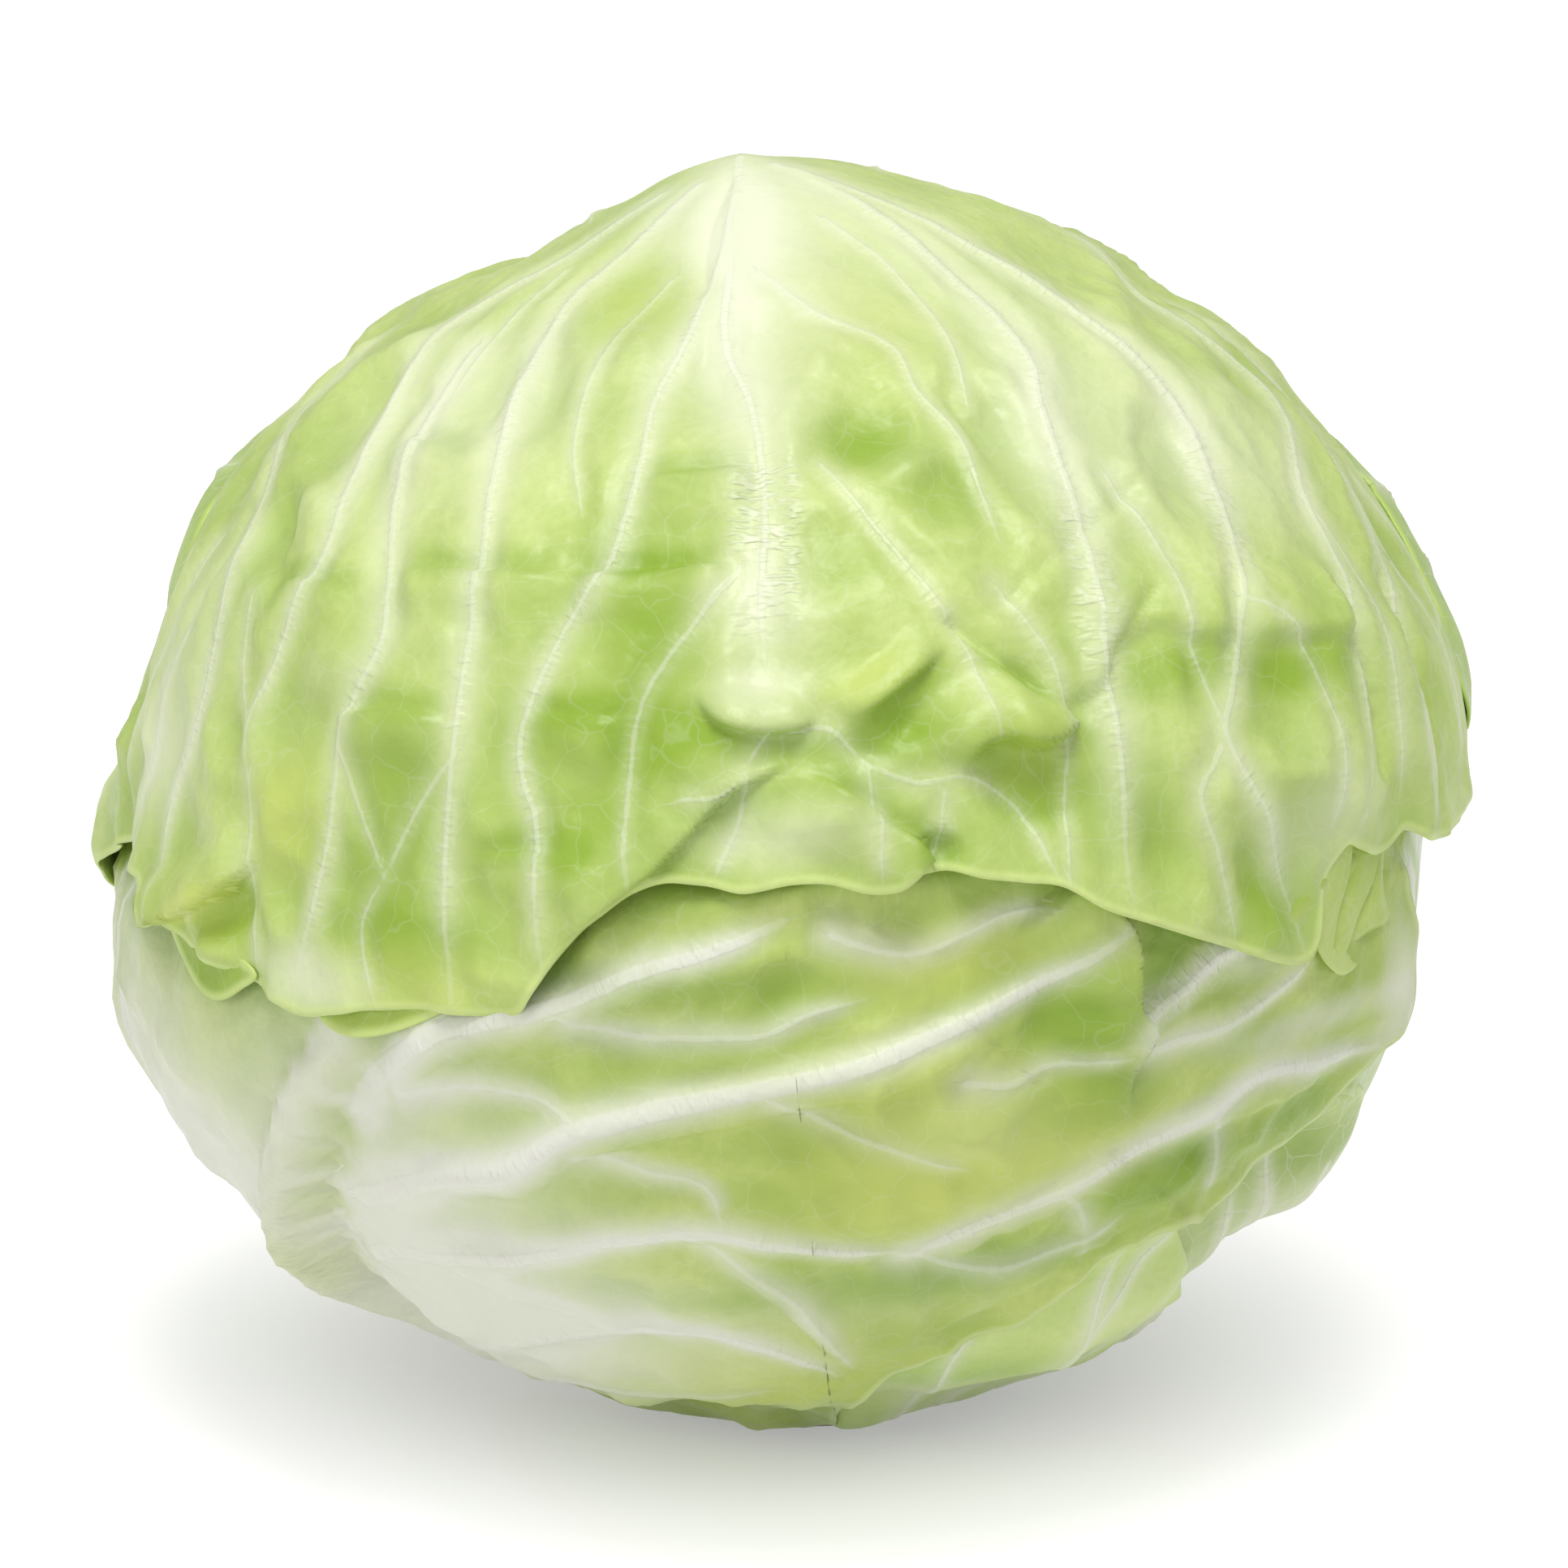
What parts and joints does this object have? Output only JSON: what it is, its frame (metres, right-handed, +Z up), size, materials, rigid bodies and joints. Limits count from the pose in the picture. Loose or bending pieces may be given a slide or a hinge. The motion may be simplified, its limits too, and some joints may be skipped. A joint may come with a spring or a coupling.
{
  "type": "cabbage head",
  "caption": "Round white cabbage head standing on its cut stem, with a leaf folded over the top, wrapper leaves around a tight heart, and a stem with its core",
  "frame": {"origin": "centre of the stem's cut face, on the surface that the head stands on", "axes": "+Z up; -Y is the front, where the free edge of the leaf folded over the top hangs; +X is the right as seen from the front"},
  "size_m": [0.2024, 0.1981, 0.1885],
  "materials": {
    "stem_flesh": "cut and drying plant flesh, creamy white, dull",
    "heart_leaf": "tight pale green inner leaves, dull",
    "green_leaf": "light green leaf with raised pale veins and a waxy half-gloss",
    "outer_leaf": "outer leaf, a deeper light green with pale veins and a waxy half-gloss",
    "pale_leaf": "leaf that is white near its thick midrib and pale green towards its edge, waxy half-gloss",
    "inner_leaf": "light green leaf with pale veins, waxy half-gloss"
  },
  "bodies": {
    "root": {"stem": "stem_flesh", "heart": "heart_leaf", "cap_leaf": "green_leaf", "left_rear_leaf": "outer_leaf", "right_rear_leaf": "outer_leaf", "front_leaf": "pale_leaf", "right_leaf": "pale_leaf", "left_leaf": "pale_leaf", "bottom_front_leaf": "inner_leaf", "lower_right_leaf": "inner_leaf"}
  },
  "joints": []
}
